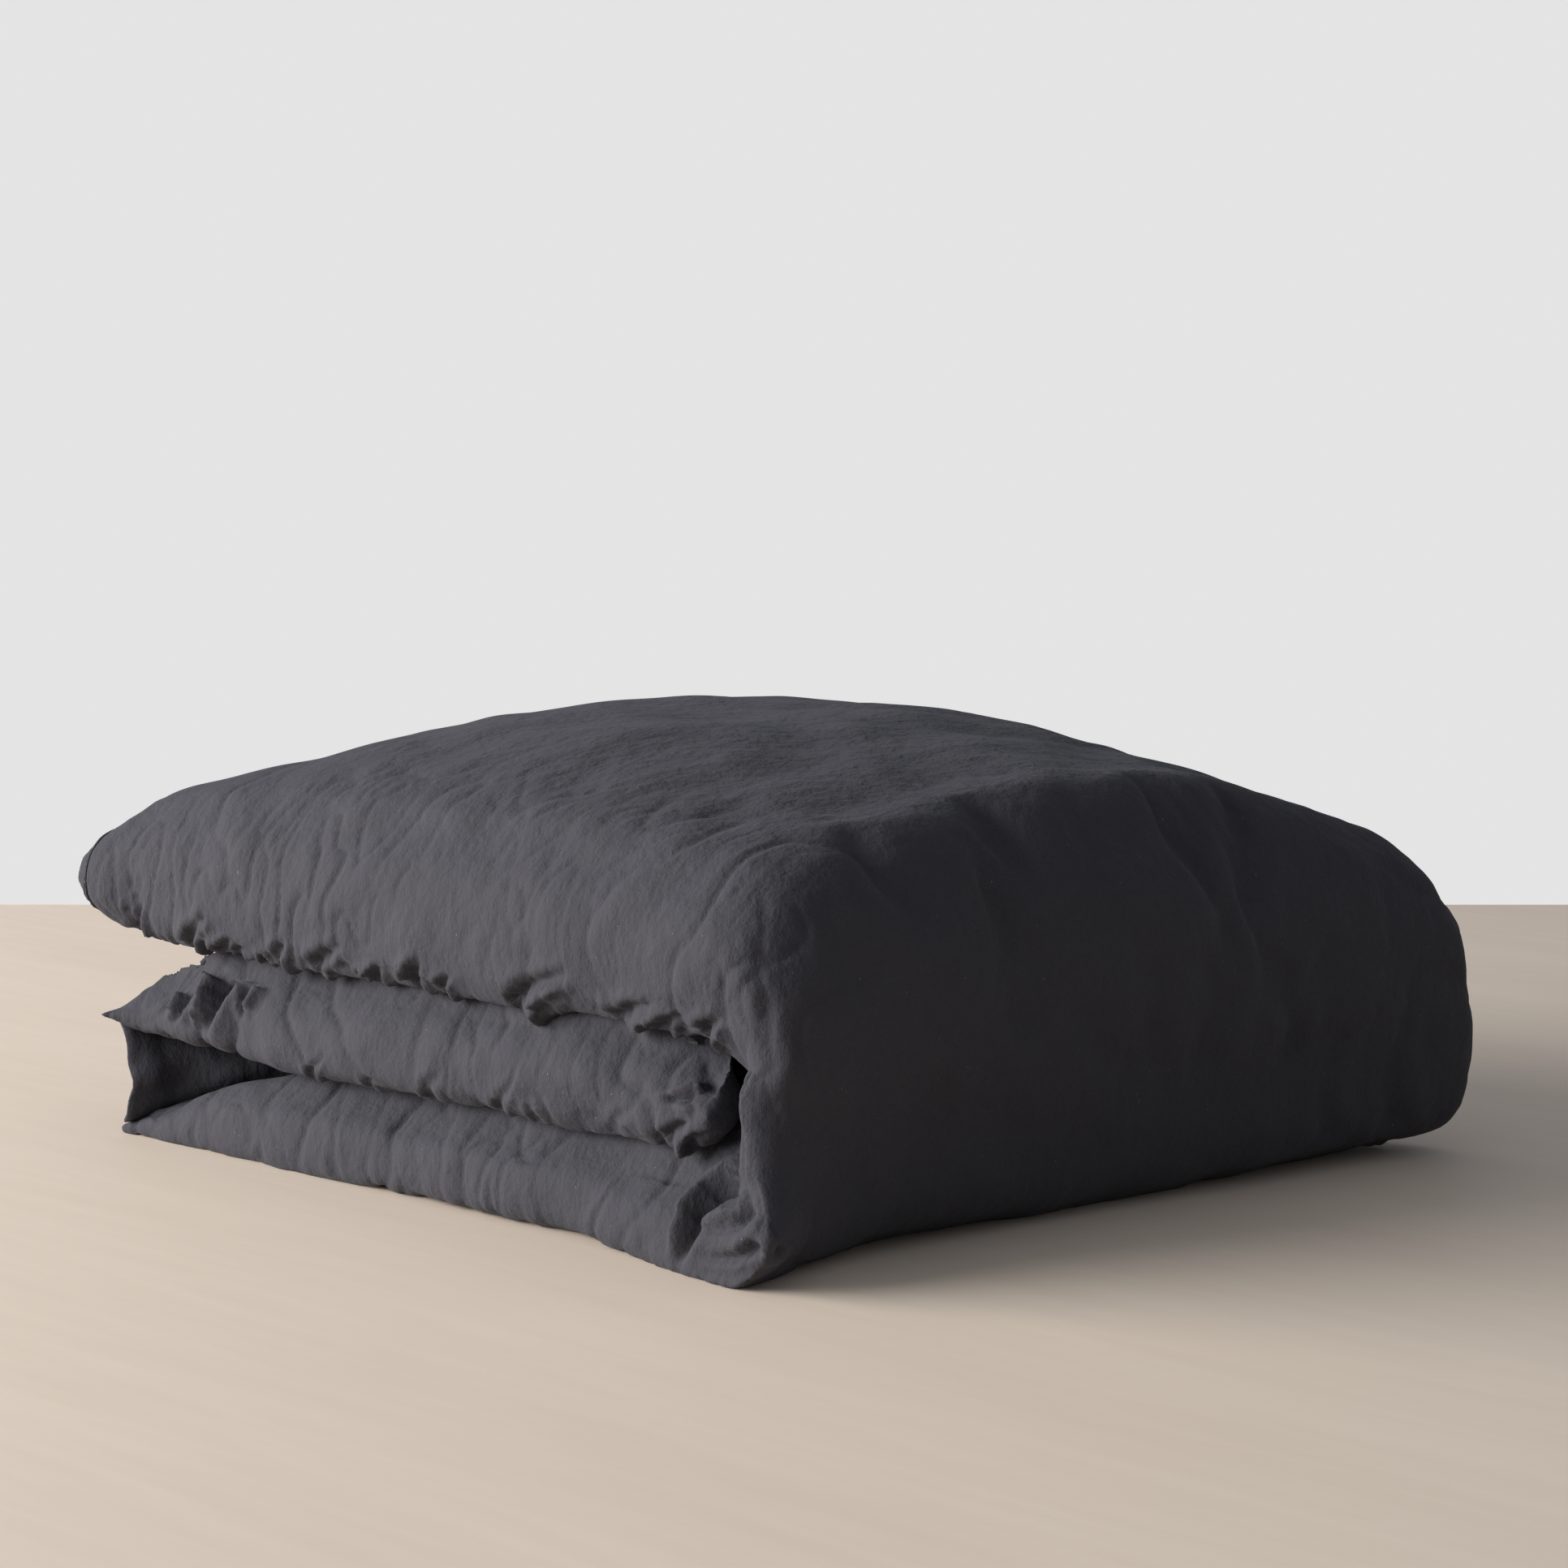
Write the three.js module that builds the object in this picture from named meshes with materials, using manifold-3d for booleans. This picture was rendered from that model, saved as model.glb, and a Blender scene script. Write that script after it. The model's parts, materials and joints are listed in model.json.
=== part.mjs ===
// A duvet in its cover, folded into a thick square stack.
//
// The duvet is folded lengthwise in half twice, which makes a strip of four plies, and the strip
// is then folded in thirds like a letter: a bottom leaf, a middle leaf folded back over it, and a
// top leaf that wraps round the middle leaf's free end and closes the stack.
//
// Frame: millimetres, +Z up, origin on the floor at the middle of the stack. The strip's folds
// run along Y. The wrap stands at +X, and the top leaf's hemmed end and the inner fold at -X.

import * as THREE from 'three';
import { mergeVertices } from 'three/addons/utils/BufferGeometryUtils.js';
import Module from 'manifold-3d';

const wasm = await Module();
wasm.setup();

// ---------- driving dimensions, in millimetres ----------

// The stack, seen from above.
const stackDepth = 600; // the strip's width, along Y
const hingeX = 245; // where the bottom and the top leaf end and the wrap begins
const wrapReach = 80; // how far the wrap stands out from its hinges
const wrapReachAtSides = 70; // the same at the two ends of the wrap
const hemmedEndX = -325; // the tip of the top leaf
const innerFoldX = -304; // the tip of the fold between the bottom and the middle leaf
const closureX = 224; // where the middle leaf ends and the button closure begins

// The leaves' heights at the middle of the stack and along its two open sides.
const bottomLeafTop = 98;
const middleLeafTop = 186;
const stackTop = 286;
const stackTopAtWrap = 262;
const bottomLeafSideTop = 44;
const middleLeafSideTop = 112;
const topLeafSideTop = 206;
const undersideRound = 11; // how far the bottom leaf's sides curl up from the floor
const curlStart = 0.9; // where they begin to curl, as a share of the way to the side

// The hollow inside the fold between the bottom and the middle leaf.
const foldSkinWall = 3;
const foldSkinTuck = 9; // how far the skin sinks in between the two lips
const hollowEndX = -140; // where the two leaves meet again
const hollowEndHeight = 55;
const lowerLipHeight = 12; // the bottom leaf's top at the fold
const upperLipHeight = 69; // the middle leaf's underside at the fold
const middleLeafLipTop = 80; // the middle leaf's top at the fold
const middleLeafRiseX = -150; // where the middle leaf reaches its full height

// The top leaf's hemmed end.
const hemmedEndLow = 138;
const hemmedEndHigh = 174;
const hemmedEndRiseX = -70; // where the top leaf reaches its full height
const hemmedEndDropX = -190; // where its underside lies down on the middle leaf
const hemWidth = 10;
const hemWall = 3;

// How square the strip and the wrap's two folds are: 2 is an ellipse, and more is squarer.
const leafSquareness = 2.2;
const crownSquareness = 2;
const lowerFoldSquareness = 2.8;
const upperFoldSquareness = 2.2;

// Cloth, filling and the clearances between pieces.
const coverWall = 2; // outer cover cloth with the lining it lies on
const insertEase = 12; // room between the insert's ends and the cover's ends
const bottomFillFromX = -165; // the insert stops short of the hollow fold
const middleFillFromX = -240;
const insertRoom = 7; // room between the insert and the cover above and below it
const plyEase = 1; // room between one ply of the insert and the next
const leafEase = 3; // room between one leaf and the next
const seamGap = 0.3; // between two pieces that touch
const pliesInStrip = 4;

// The closure and the corner fastenings.
const closureHemWidth = 15;
const closureHemWall = 1.6;
const buttonDiameter = 11;
const buttonThickness = 2.4;
const buttonLift = 0.4; // the thread between a button and its hem
const buttonsInPly = 2;
const buttonPitch = 290;
const cornerLoopRadius = 3.4;
const cornerLoopCord = 1;
const cornerTieWidth = 3;
const cornerTieThickness = 1;
const cornerTieLength = 22;
const cornerInset = 32; // from the strip's side to its corner fastenings

// ---------- values that follow ----------

const halfDepth = stackDepth / 2;
const lowerHingeZ = bottomLeafTop;
const upperHingeZ = middleLeafTop;
const coverFacet = 60; // the width of one facet of a cover, and of an insert's ply
const plyFacet = 100;
const coverRows = 10; // rows of facets along a leaf's cover, along a ply and round a fold
const plyRows = 8;
const foldRows = 5;
const wrapSteps = 8; // facets across the wrap and the inner fold
const coverSteps = Math.round(stackDepth / coverFacet);
const plySteps = Math.round(stackDepth / plyFacet);
const through = 1; // how far a cutting piece runs past the face it opens

// ---------- small helpers ----------

const mix = (from, to, share) => from + (to - from) * share;
const clamp01 = (value) => Math.min(Math.max(value, 0), 1);
const ease = (share) => Math.sin((clamp01(share) * Math.PI) / 2);

// How full the strip is at a place across it: 1 in the middle and 0 at its two sides.
function fullness(across, squareness) {
  return (1 - Math.abs(across) ** squareness) ** (1 / squareness);
}

function welded(geometry) {
  geometry.deleteAttribute('normal');
  geometry.deleteAttribute('uv');
  return mergeVertices(geometry, 1e-4);
}

// A box's last face splits its squares the other way from the face opposite. Splitting them the
// same way lets solids that are stacked on each other follow the same facets.
function matchDiagonals(geometry) {
  const index = geometry.index.array;
  const { start, count } = geometry.groups[geometry.groups.length - 1];
  for (let i = start; i < start + count; i += 6) {
    const [a, b, d, , c] = index.slice(i, i + 5);
    index.set([a, b, c, a, c, d], i);
  }
}

// A closed solid made by moving the points of a box: `place` takes how far along (0 to 1), how
// far across (-1 to 1) and how far from the inner to the outer face (0 or 1).
function softSolid(alongSteps, acrossSteps, place) {
  const geometry = new THREE.BoxGeometry(1, 1, 1, alongSteps, acrossSteps, 1);
  matchDiagonals(geometry);
  const points = geometry.attributes.position;
  for (let i = 0; i < points.count; i += 1) {
    const across = Math.sin(points.getY(i) * Math.PI);
    const [x, y, z] = place(points.getX(i) + 0.5, across, points.getZ(i) + 0.5);
    points.setXYZ(i, x, y, z);
  }
  return welded(geometry);
}

function toManifold(geometry) {
  const mesh = new wasm.Mesh({
    numProp: 3,
    vertProperties: new Float32Array(geometry.attributes.position.array),
    triVerts: new Uint32Array(geometry.index.array),
  });
  return new wasm.Manifold(mesh);
}

function toGeometry(manifold) {
  const mesh = manifold.getMesh();
  const geometry = new THREE.BufferGeometry();
  geometry.setAttribute('position', new THREE.BufferAttribute(mesh.vertProperties, 3));
  geometry.setIndex(new THREE.BufferAttribute(mesh.triVerts, 1));
  return geometry;
}

function hollowed(outer, inner) {
  return toGeometry(toManifold(outer).subtract(toManifold(inner)));
}

// ---------- materials ----------

const cloth = (name, colour, roughness) => {
  const material = new THREE.MeshStandardMaterial({ color: colour, roughness, metalness: 0 });
  material.name = name;
  return material;
};
const coverCloth = cloth('cover_cloth', 0x4a4a50, 0.9);
const insertCloth = cloth('insert_cloth', 0xe9e6df, 0.95);
const tapeCloth = cloth('tape_cloth', 0xd8d5cd, 0.85);
const buttonShell = cloth('button_shell', 0x3b3b40, 0.4);

const duvet = new THREE.Group();

function addPiece(name, geometry, material) {
  const mesh = new THREE.Mesh(geometry, material);
  mesh.name = name;
  duvet.add(mesh);
  return mesh;
}

// ---------- the leaves' surfaces ----------

// The ramp by which the bottom leaf's top climbs from the inner fold.
function foldRamp(x) {
  const slope = (hollowEndHeight - lowerLipHeight) / (hollowEndX - innerFoldX);
  return lowerLipHeight + slope * (x - innerFoldX);
}

function bottomLeafHigh(x, across) {
  const full = mix(bottomLeafSideTop, bottomLeafTop, fullness(across, leafSquareness));
  return Math.min(full, foldRamp(x));
}

function bottomLeafLow(x, across) {
  const curl = undersideRound * Math.max(0, (Math.abs(across) - curlStart) / (1 - curlStart)) ** 2;
  return Math.min(curl, bottomLeafHigh(x, across) - lowerLipHeight / 2);
}

function middleLeafLow(x, across) {
  if (x > hollowEndX) {
    return bottomLeafHigh(x, across) + leafEase;
  }
  const atHollowEnd = bottomLeafHigh(hollowEndX, across) + leafEase;
  return mix(atHollowEnd, upperLipHeight, (hollowEndX - x) / (hollowEndX - innerFoldX));
}

function middleLeafHigh(x, across) {
  const full = mix(middleLeafSideTop, middleLeafTop, fullness(across, leafSquareness));
  return mix(middleLeafLipTop, full, ease((x - innerFoldX) / (middleLeafRiseX - innerFoldX)));
}

function topLeafLow(x, across) {
  const lying = mix(middleLeafSideTop, middleLeafTop, fullness(across, leafSquareness)) + leafEase;
  return mix(hemmedEndLow, lying, ease((x - hemmedEndX) / (hemmedEndDropX - hemmedEndX)));
}

function topLeafHigh(x, across) {
  const ridge = x < 0 ? stackTop : mix(stackTop, stackTopAtWrap, (x / hingeX) ** 2);
  const full = mix(topLeafSideTop, ridge, fullness(across, crownSquareness));
  return mix(hemmedEndHigh, full, ease((x - hemmedEndX) / (hemmedEndRiseX - hemmedEndX)));
}

// ---------- leaves: a cover with the insert's plies inside ----------

// The places along the strip where every leaf has its rows of points, so that two leaves that
// lie on each other follow the same facets.
function leafStation(along, from, to) {
  if (along === 0) {
    return from;
  }
  return along === 1 ? to : mix(innerFoldX, hingeX, along);
}

// A leaf between two heights, drawn in by `inset` on every side but its open end.
function leafSolid(leaf, inset, openEnd) {
  const from = leaf.fromX + inset;
  const to = leaf.toX + openEnd;
  return softSolid(coverRows, coverSteps, (along, across, rise) => {
    const x = leafStation(along, from, to);
    const low = leaf.low(Math.min(x, leaf.toX), across) + inset;
    const high = leaf.high(Math.min(x, leaf.toX), across) - inset;
    return [x, across * (halfDepth - inset), mix(low, high, rise)];
  });
}

function leafCover(leaf) {
  return hollowed(leafSolid(leaf, 0, 0), leafSolid(leaf, coverWall, through));
}

// A ply's underside and top: an equal share of the room inside the cover.
function plyHeights(leaf, ply, x, across) {
  const low = leaf.low(x, across) + coverWall + insertRoom;
  const high = leaf.high(x, across) - coverWall - insertRoom;
  const share = (high - low) / pliesInStrip;
  const bottom = low + share * ply;
  return [bottom, bottom + share - plyEase];
}

function leafPly(leaf, ply) {
  const from = leaf.fillFromX;
  const to = leaf.toX - leaf.plyStop;
  const side = halfDepth - coverWall - insertEase;
  return softSolid(plyRows, plySteps, (along, across, rise) => {
    const x = mix(from, to, along);
    const y = across * side;
    const [bottom, top] = plyHeights(leaf, ply, x, y / halfDepth);
    return [x, y, mix(bottom, top, rise)];
  });
}

const bottomLeaf = {
  name: 'bottom',
  fromX: innerFoldX,
  fillFromX: bottomFillFromX,
  toX: hingeX - seamGap,
  plyStop: seamGap,
  low: bottomLeafLow,
  high: bottomLeafHigh,
};
const middleLeaf = {
  name: 'middle',
  fromX: innerFoldX,
  fillFromX: middleFillFromX,
  toX: closureX,
  plyStop: insertEase,
  low: middleLeafLow,
  high: middleLeafHigh,
};
const topLeaf = {
  name: 'top',
  fromX: hemmedEndX + hemWidth + seamGap,
  fillFromX: hemmedEndX + hemWidth + seamGap + coverWall + insertEase,
  toX: hingeX - seamGap,
  plyStop: seamGap,
  low: topLeafLow,
  high: topLeafHigh,
};

for (const leaf of [bottomLeaf, middleLeaf, topLeaf]) {
  addPiece(`${leaf.name}_leaf_cover`, leafCover(leaf), coverCloth);
  for (let ply = 0; ply < pliesInStrip; ply += 1) {
    addPiece(`${leaf.name}_leaf_insert_ply_${ply + 1}`, leafPly(leaf, ply), insertCloth);
  }
}

// ---------- the fold between the bottom and the middle leaf ----------

// A skin of doubled cover cloth that stands behind the hollow and joins the two leaves' lips.
function innerFoldSkin() {
  const bottom = lowerLipHeight + leafEase;
  const top = upperLipHeight - leafEase;
  return softSolid(foldRows, wrapSteps, (along, across, rise) => {
    const tuck = foldSkinTuck * Math.sin(along * Math.PI);
    const x = innerFoldX + foldSkinWall * rise + tuck;
    return [x, -across * halfDepth, mix(bottom, top, along)];
  });
}

addPiece('inner_fold_cover', innerFoldSkin(), coverCloth);

// ---------- the wrap: lower fold, spine and upper fold ----------

function reachOut(across) {
  return mix(wrapReachAtSides, wrapReach, fullness(across, leafSquareness));
}

// A fold's solid: it fans out from its hinge, between `inner` and `outer` shares of the wrap's
// thickness, from straight below (or above) the hinge round to level with it. `overrun` carries a
// cutting piece a little past both of its ends, in radians.
function foldSolid(fold, inner, outer, side, overrun) {
  const rounded = (value) => Math.sign(value) * Math.abs(value) ** (2 / fold.squareness);
  return softSolid(foldRows, wrapSteps, (along, across, rise) => {
    const angle = mix(-overrun, Math.PI / 2 + overrun, along);
    const share = mix(inner, outer, rise);
    const x = hingeX + reachOut(across) * share * rounded(Math.sin(angle));
    const z = fold.hingeZ + fold.way * fold.height(across) * share * rounded(Math.cos(angle));
    return [x, fold.way * across * side, z];
  });
}

const lowerFold = {
  name: 'lower_fold',
  way: -1,
  hingeZ: lowerHingeZ - seamGap,
  squareness: lowerFoldSquareness,
  height: (across) => lowerHingeZ - seamGap - bottomLeafLow(hingeX, across),
};
const upperFold = {
  name: 'upper_fold',
  way: 1,
  hingeZ: upperHingeZ + seamGap,
  squareness: upperFoldSquareness,
  height: (across) => topLeafHigh(hingeX, across) - upperHingeZ - seamGap,
};

const spinePlyEase = 0.015; // the share of the wrap's thickness between two of the spine's plies
const foldCore = 0.08; // the share of the wrap's thickness left open at the hinge
const foldFillFrom = 0.24;
const foldFillTo = 0.84;
const foldOverrun = 0.05;
const foldLining = 0.97; // the cover cloth is the rest of the wrap's thickness

function foldCover(fold) {
  const lining = 1 - foldLining;
  const outer = foldSolid(fold, foldCore, 1, halfDepth, 0);
  const inner = foldSolid(fold, foldCore + lining, foldLining, halfDepth - coverWall, foldOverrun);
  return hollowed(outer, inner);
}

for (const fold of [lowerFold, upperFold]) {
  addPiece(`${fold.name}_cover`, foldCover(fold), coverCloth);
  const filling = foldSolid(fold, foldFillFrom, foldFillTo, halfDepth - insertEase, 0);
  addPiece(`${fold.name}_insert`, filling, insertCloth);
}

// The spine stands between the two folds. `inner` and `outer` are shares of the wrap's thickness.
function spineSolid(inner, outer, side, endRoom) {
  const from = lowerHingeZ + seamGap + endRoom;
  const to = upperHingeZ - seamGap - endRoom;
  return softSolid(2, wrapSteps, (along, across, rise) => {
    const x = hingeX + reachOut(across) * mix(inner, outer, rise);
    return [x, -across * side, mix(from, to, along)];
  });
}

const spineBack = 0.01; // the share of the wrap's thickness between the hinges and the spine
const spineFillFrom = 0.08;
const spineFillTo = 0.92;

function spineCover() {
  const outer = spineSolid(spineBack, 1, halfDepth, 0);
  const inner = spineSolid(spineBack + 1 - foldLining, foldLining, halfDepth - coverWall, -through);
  return hollowed(outer, inner);
}

addPiece('spine_cover', spineCover(), coverCloth);
for (let ply = 0; ply < pliesInStrip; ply += 1) {
  const share = (spineFillTo - spineFillFrom) / pliesInStrip;
  const start = spineFillFrom + share * ply;
  const plySolid = spineSolid(start, start + share - spinePlyEase, halfDepth - insertEase, 0);
  addPiece(`spine_insert_ply_${ply + 1}`, plySolid, insertCloth);
}

// ---------- the top leaf's hemmed end ----------

// A band of doubled, topstitched cloth that follows the end of the strip all the way round.
function endHem() {
  const band = (inset, overrun) =>
    softSolid(1, coverSteps, (along, across, rise) => {
      const x = mix(hemmedEndX - overrun, topLeaf.fromX - seamGap + overrun, along);
      const low = topLeafLow(topLeaf.fromX, across) + inset;
      const high = topLeafHigh(topLeaf.fromX, across) - inset;
      return [x, across * (halfDepth - inset), mix(low, high, rise)];
    });
  return hollowed(band(0, 0), band(hemWall, through));
}

addPiece('end_hem', endHem(), coverCloth);

// ---------- the button closure at the middle leaf's end ----------

// A ply's middle height where the closure's hem meets it.
function closureHeight(ply, y) {
  const [bottom, top] = plyHeights(middleLeaf, ply, closureX, y / halfDepth);
  return (bottom + top) / 2;
}

function closureHem(ply) {
  const half = halfDepth - cornerInset;
  return softSolid(1, wrapSteps, (along, across, rise) => {
    const x = closureX + seamGap + closureHemWidth * along;
    const z = closureHeight(ply, across * half) + closureHemWall * (rise - 0.5);
    return [x, across * half, z];
  });
}

function closureButton(ply, place) {
  const radius = buttonDiameter / 2;
  const geometry = new THREE.CylinderGeometry(radius, radius, buttonThickness, 12);
  geometry.rotateX(Math.PI / 2);
  const y = (place - (buttonsInPly - 1) / 2) * buttonPitch;
  const lift = closureHemWall / 2 + buttonLift + buttonThickness / 2;
  geometry.translate(closureX + seamGap + closureHemWidth / 2, y, closureHeight(ply, y) + lift);
  return welded(geometry);
}

for (let ply = 0; ply < pliesInStrip; ply += 1) {
  addPiece(`closure_hem_${ply + 1}`, closureHem(ply), coverCloth);
  for (let place = 0; place < buttonsInPly; place += 1) {
    const number = ply * buttonsInPly + place + 1;
    addPiece(`closure_button_${number}`, closureButton(ply, place), buttonShell);
  }
}

// ---------- corner loops on the insert and the ties that hold them ----------

// The insert's four corners end up at the back of the strip: two at each of its ends, in the
// lowest and the highest ply.
function cornerFastening(name, x, y, z) {
  const loop = new THREE.TorusGeometry(cornerLoopRadius, cornerLoopCord, 5, 10);
  loop.rotateX(Math.PI / 2);
  loop.translate(x, y, z);
  addPiece(`${name}_loop`, welded(loop), tapeCloth);
  const tie = new THREE.BoxGeometry(cornerTieWidth, cornerTieLength, cornerTieThickness);
  tie.translate(x, y, z);
  addPiece(`${name}_tie`, welded(tie), tapeCloth);
}

function cornerFastenings(leaf, x) {
  const y = halfDepth - cornerInset;
  for (const [which, ply] of [['lower', 0], ['upper', pliesInStrip - 1]]) {
    const [bottom, top] = plyHeights(leaf, ply, x, y / halfDepth);
    cornerFastening(`${leaf.name}_leaf_${which}_corner`, x, y, (bottom + top) / 2);
  }
}

cornerFastenings(topLeaf, topLeaf.fromX + coverWall + insertEase / 2);
cornerFastenings(middleLeaf, closureX - insertEase / 2);

export default duvet;
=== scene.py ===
# %% [markdown]
# # A folded duvet
# The real thing is one big soft bag of cotton with a quilted insert fastened inside it. It has been
# folded lengthwise in half twice and then in thirds, so what lies on the table is a stack of three
# thick leaves. The frame brings the measured solids, the bodies and the two hinges; this script
# dresses them in cloth. Lengths are in metres, +Z is up and -Y is the open front side.

# %% Load the frame
import json
import math
import random

import bmesh
import bpy
import numpy as np
from mathutils import Matrix, Vector, kdtree, noise


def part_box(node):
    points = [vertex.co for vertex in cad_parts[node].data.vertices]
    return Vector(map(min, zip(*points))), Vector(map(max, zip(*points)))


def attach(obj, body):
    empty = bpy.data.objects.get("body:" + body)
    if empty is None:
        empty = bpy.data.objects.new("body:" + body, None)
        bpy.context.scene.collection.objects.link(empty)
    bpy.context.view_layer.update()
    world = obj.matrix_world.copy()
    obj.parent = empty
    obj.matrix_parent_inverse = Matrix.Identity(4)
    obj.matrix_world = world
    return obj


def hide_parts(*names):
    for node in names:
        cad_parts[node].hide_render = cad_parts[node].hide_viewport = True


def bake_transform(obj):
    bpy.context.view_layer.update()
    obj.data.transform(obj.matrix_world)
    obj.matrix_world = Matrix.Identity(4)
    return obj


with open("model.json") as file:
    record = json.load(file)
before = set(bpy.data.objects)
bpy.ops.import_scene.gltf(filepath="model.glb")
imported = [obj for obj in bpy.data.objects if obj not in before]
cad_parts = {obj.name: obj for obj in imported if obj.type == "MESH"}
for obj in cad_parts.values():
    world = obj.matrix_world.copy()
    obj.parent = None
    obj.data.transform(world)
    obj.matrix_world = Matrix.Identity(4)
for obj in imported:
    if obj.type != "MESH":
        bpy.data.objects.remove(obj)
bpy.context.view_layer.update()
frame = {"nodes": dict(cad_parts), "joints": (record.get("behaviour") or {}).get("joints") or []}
scene = bpy.context.scene

# %% [markdown]
# Places are read from the frame: the two hinge lines, the ends of the leaves and the heights of the
# stack. Only the ways in which cloth swells and wrinkles are chosen.

# %% Places that come from the frame
hinge = {joint["name"]: joint["pos_m"] for joint in frame["joints"]}
hinge_x = hinge["wrap_lean"][0]
lower_hinge_z = hinge["wrap_lean"][2]
upper_hinge_z = hinge["top_leaf_unfold"][2]
half_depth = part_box("top_leaf_cover")[1][1]
folded_end_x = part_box("middle_leaf_cover")[0][0]
closure_end_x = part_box("middle_leaf_cover")[1][0]
hemmed_end_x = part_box("end_hem")[0][0]
bottom_crown_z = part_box("bottom_leaf_cover")[1][2]
middle_crown_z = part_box("middle_leaf_cover")[1][2]
stack_top_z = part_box("top_leaf_cover")[1][2]
wrap_top_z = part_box("upper_fold_cover")[1][2]
wrap_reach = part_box("spine_cover")[1][0] - hinge_x
print("hinges", hinge_x, lower_hinge_z, upper_hinge_z, "half depth", round(half_depth, 3))

# %% [markdown]
# The camera comes first, because every later choice is judged through it. A long lens a little
# above the table looks at the corner between the open front side and the smooth wrap.

# %% Camera
CAMERA_AZIMUTH = math.radians(48.0)
CAMERA_DIP = math.radians(5.2)
CAMERA_PLACE = Vector((1.90, -1.70, 0.46))


def looking_axes(azimuth, dip):
    back = Vector((math.sin(azimuth) * math.cos(dip), -math.cos(azimuth) * math.cos(dip), math.sin(dip)))
    right = Vector((math.cos(azimuth), math.sin(azimuth), 0.0))
    return right, back.cross(right), back


lens = bpy.data.cameras.new("camera")
lens.lens = 93.2
lens.sensor_width = 36.0
camera = bpy.data.objects.new("camera", lens)
turn = Matrix(looking_axes(CAMERA_AZIMUTH, CAMERA_DIP)).transposed()
camera.matrix_world = Matrix.Translation(CAMERA_PLACE) @ turn.to_4x4()
scene.collection.objects.link(camera)
scene.camera = camera
print("camera at", tuple(CAMERA_PLACE))

# %% [markdown]
# Shader sums are easier to read as Python than as a tangle of links. A Wire is one output of a
# node; adding or multiplying it puts down the Math node for it. A Finish is one material, and its
# node() method puts down any other node: its type, its settings, then what goes into its sockets.

# %% Shader helpers
class Wire:
    def __init__(self, finish, socket):
        self.finish = finish
        self.socket = socket

    def sum_with(self, operation, first, second):
        made = self.finish.node("ShaderNodeMath", {"operation": operation}, {0: first, 1: second})
        return made.out(0)

    def __add__(self, other):
        return self.sum_with("ADD", self, other)

    __radd__ = __add__

    def __sub__(self, other):
        return self.sum_with("SUBTRACT", self, other)

    def __rsub__(self, other):
        return self.sum_with("SUBTRACT", other, self)

    def __mul__(self, other):
        return self.sum_with("MULTIPLY", self, other)

    __rmul__ = __mul__

    def __pow__(self, other):
        return self.sum_with("POWER", self, other)

    def over(self, edge):
        return self.sum_with("GREATER_THAN", self, edge)


class Placed:
    def __init__(self, finish, node):
        self.finish = finish
        self.made = node

    def out(self, name):
        return Wire(self.finish, self.made.outputs[name])


class Finish:
    def __init__(self, name):
        self.material = bpy.data.materials.new(name)
        self.material.use_nodes = True
        self.tree = self.material.node_tree
        self.skin = self.tree.nodes["Principled BSDF"]
        self.place = self.node("ShaderNodeTexCoord").out("Object")

    def node(self, kind, settings=None, sockets=None):
        made = self.tree.nodes.new(kind)
        for name, value in (settings or {}).items():
            setattr(made, name, value)
        for name, value in (sockets or {}).items():
            self.feed(made.inputs[name], value)
        return Placed(self, made)

    def feed(self, socket, value):
        if isinstance(value, Wire):
            self.tree.links.new(value.socket, socket)
        else:
            socket.default_value = value

    def skin_is(self, **values):
        for name, value in values.items():
            self.feed(self.skin.inputs[name.replace("_", " ")], value)

    def noise(self, scale, detail=3.0, roughness=0.5, stretch=(1.0, 1.0, 1.0)):
        moved = self.node("ShaderNodeMapping", None, {"Vector": self.place, "Scale": stretch}).out(0)
        values = {"Vector": moved, "Scale": scale, "Detail": detail, "Roughness": roughness}
        return self.node("ShaderNodeTexNoise", None, values).out(0)

    def between(self, factor, first, second):
        values = {"Factor": factor, 6: first, 7: second}
        return self.node("ShaderNodeMix", {"data_type": "RGBA"}, values).out(2)

    def bump(self, height, strength, distance, under=None):
        values = {"Height": height, "Strength": strength, "Distance": distance}
        if under is not None:
            values["Normal"] = under
        return self.node("ShaderNodeBump", None, values).out(0)


# %% [markdown]
# The cover is a washed charcoal percale: a plain weave of fine yarn with a faint cool cast, matt,
# with a soft sheen at grazing angles and a few pale specks of lint. The weave reads the object's
# own coordinates along three directions, because the cloth turns over the edges of the stack and
# has no flat pattern of its own. Creases too small to model are two layers of stretched noise.

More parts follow.
